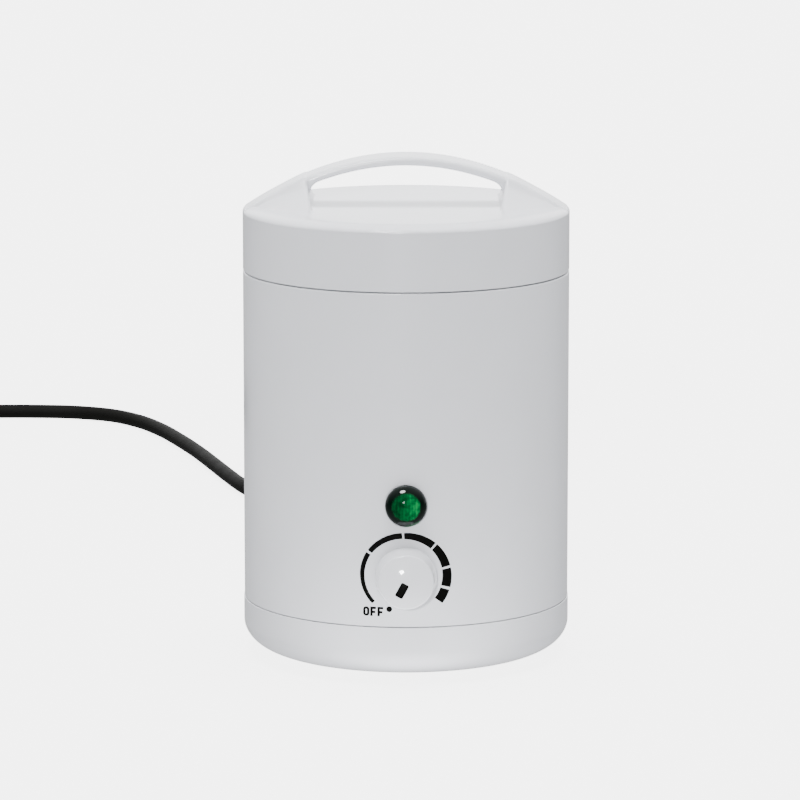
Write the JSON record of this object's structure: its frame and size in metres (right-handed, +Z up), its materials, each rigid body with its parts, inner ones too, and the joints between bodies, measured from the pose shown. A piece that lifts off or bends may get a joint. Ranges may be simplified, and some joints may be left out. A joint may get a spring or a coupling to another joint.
{
  "type": "wax heater",
  "caption": "Round countertop wax heater with a lift-off lid and arch handle, an aluminium heating well, a thermostat knob and a pilot lamp.",
  "frame": {"origin": "on the casing's axis, level with the bottom of the feet", "axes": "+Z up along the casing's axis; the dial and the pilot lamp face -Y and the mains lead leaves towards +Y; +X is to the right seen from the front"},
  "size_m": [0.3702, 0.5545, 0.1854],
  "materials": {
    "housing_white": "glossy moulded",
    "mark_black": "satin",
    "lens_green": "clear glossy",
    "aluminium": "drawn",
    "steel": "zinc plated",
    "brass": "nickel plated",
    "copper": "bare",
    "glass_cloth": "woven",
    "bakelite": "moulded",
    "nylon": "moulded",
    "rubber_black": "matte",
    "cord_black": "satin",
    "wire_brown": "extruded",
    "wire_blue": "extruded",
    "sleeve_white": "braided",
    "neon_glass": "clear"
  },
  "bodies": {
    "body": {"casing": "housing_white", "base_cover": "housing_white", "base_screw_1": "steel", "base_screw_2": "steel", "base_screw_3": "steel", "base_screw_4": "steel", "well_screw_1": "steel", "well_screw_2": "steel", "well_screw_3": "steel", "band_clamp": "steel", "clamp_screw": "steel", "clamp_nut": "steel", "thermostat_nut": "steel", "bulb_clip": "steel", "fuse_clip": "steel", "lamp_retainer": "steel", "block_screw": "steel", "cord_clamp_screw_1": "steel", "cord_clamp_screw_2": "steel", "foot_1": "rubber_black", "foot_2": "rubber_black", "foot_3": "rubber_black", "foot_4": "rubber_black", "strain_relief": "rubber_black", "plug_body": "rubber_black", "cord_tie": "rubber_black", "cord_free": "cord_black", "cord_coil": "cord_black", "cord_end": "cord_black", "cord_tail": "cord_black", "heating_well": "aluminium", "thermal_fuse": "aluminium", "heater_band": "glass_cloth", "thermostat_body": "bakelite", "lamp_lens": "lens_green", "lamp_socket": "nylon", "terminal_block": "nylon", "cord_clamp": "nylon", "neon_bulb": "neon_glass", "sensing_bulb": "copper", "capillary_tube": "copper", "plug_pin_1": "brass", "plug_pin_2": "brass", "core_live": "wire_brown", "wire_live": "wire_brown", "lamp_lead_1": "wire_brown", "core_neutral": "wire_blue", "lamp_lead_2": "wire_blue", "wire_switched": "sleeve_white", "wire_fuse": "sleeve_white", "wire_neutral": "sleeve_white"},
    "lid": {"lid": "housing_white"},
    "knob": {"control_knob": "housing_white", "knob_pointer": "mark_black", "thermostat_shaft": "steel"}
  },
  "joints": [
    {"name": "lid_lift", "type": "slide", "parent": "body", "child": "lid", "axis": [0, 0, 1], "range_m": [0, 0.08]},
    {"name": "knob_turn", "type": "hinge", "parent": "body", "child": "knob", "pos_m": [0, -0.06, 0.0399], "axis": [0, 1, 0], "range_deg": [0, 280]}
  ]
}
